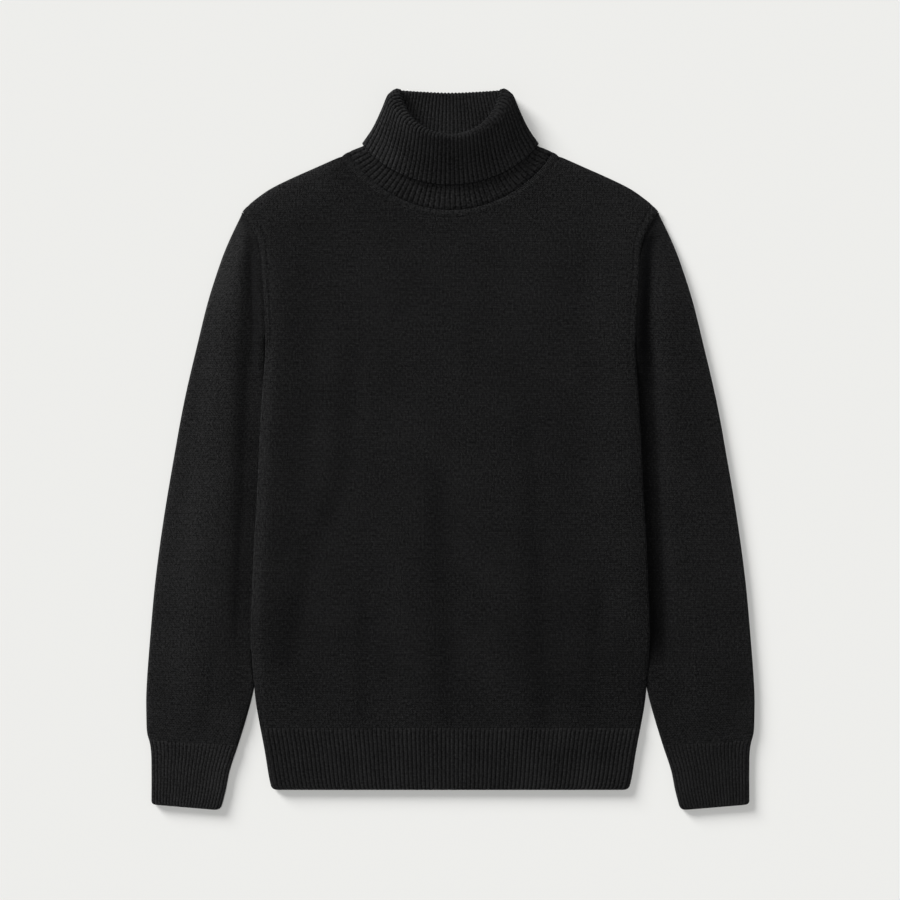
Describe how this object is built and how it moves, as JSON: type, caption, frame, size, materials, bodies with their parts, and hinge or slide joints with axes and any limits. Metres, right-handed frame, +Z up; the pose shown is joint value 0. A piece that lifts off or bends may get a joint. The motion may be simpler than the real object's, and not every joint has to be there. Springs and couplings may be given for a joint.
{
  "type": "turtleneck sweater",
  "caption": "Long-sleeved knitted sweater with a high folded-over ribbed collar, ribbed cuffs and a ribbed hem, laid flat with the sleeves beside the body.",
  "frame": {"origin": "middle of the sweater's footprint, on the surface that it lies on", "axes": "+X to the sweater's left sleeve as worn, which is at the right of the picture; +Y from hem to collar; +Z up, out of the front"},
  "size_m": [0.656, 0.7765, 0.0222],
  "materials": {
    "jersey": "matt, fine plain knit with a slight nap",
    "rib": "matt, ribbed knit with a slight nap"
  },
  "bodies": {
    "root": {"back_panel": "jersey", "front_panel": "jersey", "hem_rib_back": "rib", "hem_rib_front": "rib", "sleeve_left": "jersey", "sleeve_right": "jersey", "cuff_left": "rib", "cuff_right": "rib", "neck_band": "jersey", "collar": "rib"}
  },
  "joints": []
}
